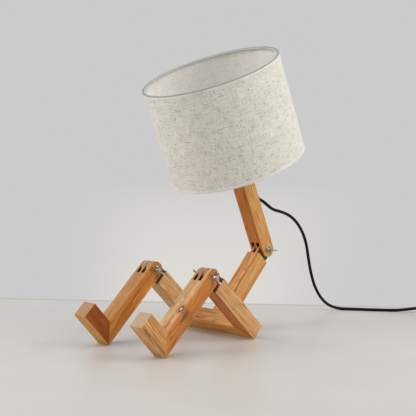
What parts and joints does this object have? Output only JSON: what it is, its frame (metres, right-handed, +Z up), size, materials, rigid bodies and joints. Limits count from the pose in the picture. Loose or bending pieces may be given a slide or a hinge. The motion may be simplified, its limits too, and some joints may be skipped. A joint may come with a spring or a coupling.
{
  "type": "robot shaped desk lamp",
  "caption": "Wooden desk lamp in the form of a sitting figure, with finger-jointed knees and elbow, a linen drum shade on the neck and a mains cord with an inline switch.",
  "frame": {"origin": "on the floor, under the middle of the lamp's bounding box without its cord", "axes": "+Z up, +X from the feet towards the back of the seat, +Y across the seat from the near leg to the far leg"},
  "size_m": [0.644, 0.3875, 0.4369],
  "materials": {
    "wood": "oiled, planed smooth",
    "zinc_steel": "bright zinc plated",
    "cord_pvc": "satin moulded",
    "black_plastic": "moulded, fine grain",
    "plated_brass": "nickel plated",
    "opal_glass": "opal",
    "linen": "woven, flecked",
    "white_wire": "white enamel"
  },
  "bodies": {
    "hip_frame": {"hip_crossbar": "wood", "thigh_near": "wood", "thigh_far": "wood", "torso_beam": "wood", "hip_dowels": "wood", "torso_dowels": "wood", "cord_lead": "cord_pvc", "switch_lower": "black_plastic", "switch_upper": "black_plastic", "cord_coil": "cord_pvc", "plug_body": "black_plastic", "plug_pins": "plated_brass"},
    "near_shin": {"shin_near": "wood", "foot_near": "wood", "heel_dowels_near": "wood", "knee_bolt_near": "zinc_steel", "knee_washers_near": "zinc_steel"},
    "far_shin": {"shin_far": "wood", "foot_far": "wood", "heel_dowels_far": "wood", "knee_bolt_far": "zinc_steel", "knee_washers_far": "zinc_steel"},
    "neck": {"neck_beam": "wood", "elbow_bolt": "zinc_steel", "elbow_washers": "zinc_steel", "strain_relief": "cord_pvc", "flex_in_neck": "cord_pvc", "holder_nipple": "zinc_steel", "holder_cap": "black_plastic", "holder_contacts": "black_plastic", "holder_body": "black_plastic", "holder_ring": "black_plastic", "bulb_glass": "opal_glass", "bulb_cap": "plated_brass", "shade_drum": "linen", "shade_top_hem": "linen", "shade_bottom_hem": "linen", "shade_top_ring": "white_wire", "shade_bottom_ring": "white_wire", "shade_spider": "white_wire"},
    "near_knee_nut": {"knee_wing_nut_near": "zinc_steel"},
    "far_knee_nut": {"knee_wing_nut_far": "zinc_steel"},
    "elbow_nut": {"elbow_wing_nut": "zinc_steel"},
    "rocker": {"switch_rocker": "black_plastic"}
  },
  "joints": [
    {"name": "knee_near", "type": "hinge", "parent": "hip_frame", "child": "near_shin", "pos_m": [-0.04512, -0.06, 0.09989], "axis": [0, 1, 0], "range_deg": [-11, 86.6]},
    {"name": "knee_far", "type": "hinge", "parent": "hip_frame", "child": "far_shin", "pos_m": [-0.04512, 0.06, 0.09989], "axis": [0, 1, 0], "range_deg": [-11, 86.6]},
    {"name": "elbow", "type": "hinge", "parent": "hip_frame", "child": "neck", "pos_m": [0.13923, 0, 0.1202], "axis": [0, 1, 0], "range_deg": [-15, 67.4], "deforming": ["cord_lead"]},
    {"name": "near_knee_nut_turn", "type": "hinge", "parent": "near_shin", "child": "near_knee_nut", "pos_m": [-0.04512, -0.075, 0.09989], "axis": [0, 1, 0], "continuous": true},
    {"name": "far_knee_nut_turn", "type": "hinge", "parent": "far_shin", "child": "far_knee_nut", "pos_m": [-0.04512, 0.045, 0.09989], "axis": [0, 1, 0], "continuous": true},
    {"name": "elbow_nut_turn", "type": "hinge", "parent": "neck", "child": "elbow_nut", "pos_m": [0.13923, -0.015, 0.1202], "axis": [0, 1, 0], "continuous": true},
    {"name": "switch_rocker_tilt", "type": "hinge", "parent": "hip_frame", "child": "rocker", "pos_m": [0.42197, -0.16691, 0.0142], "axis": [0.8348, 0.5505, 0], "range_deg": [-8, 8]}
  ]
}
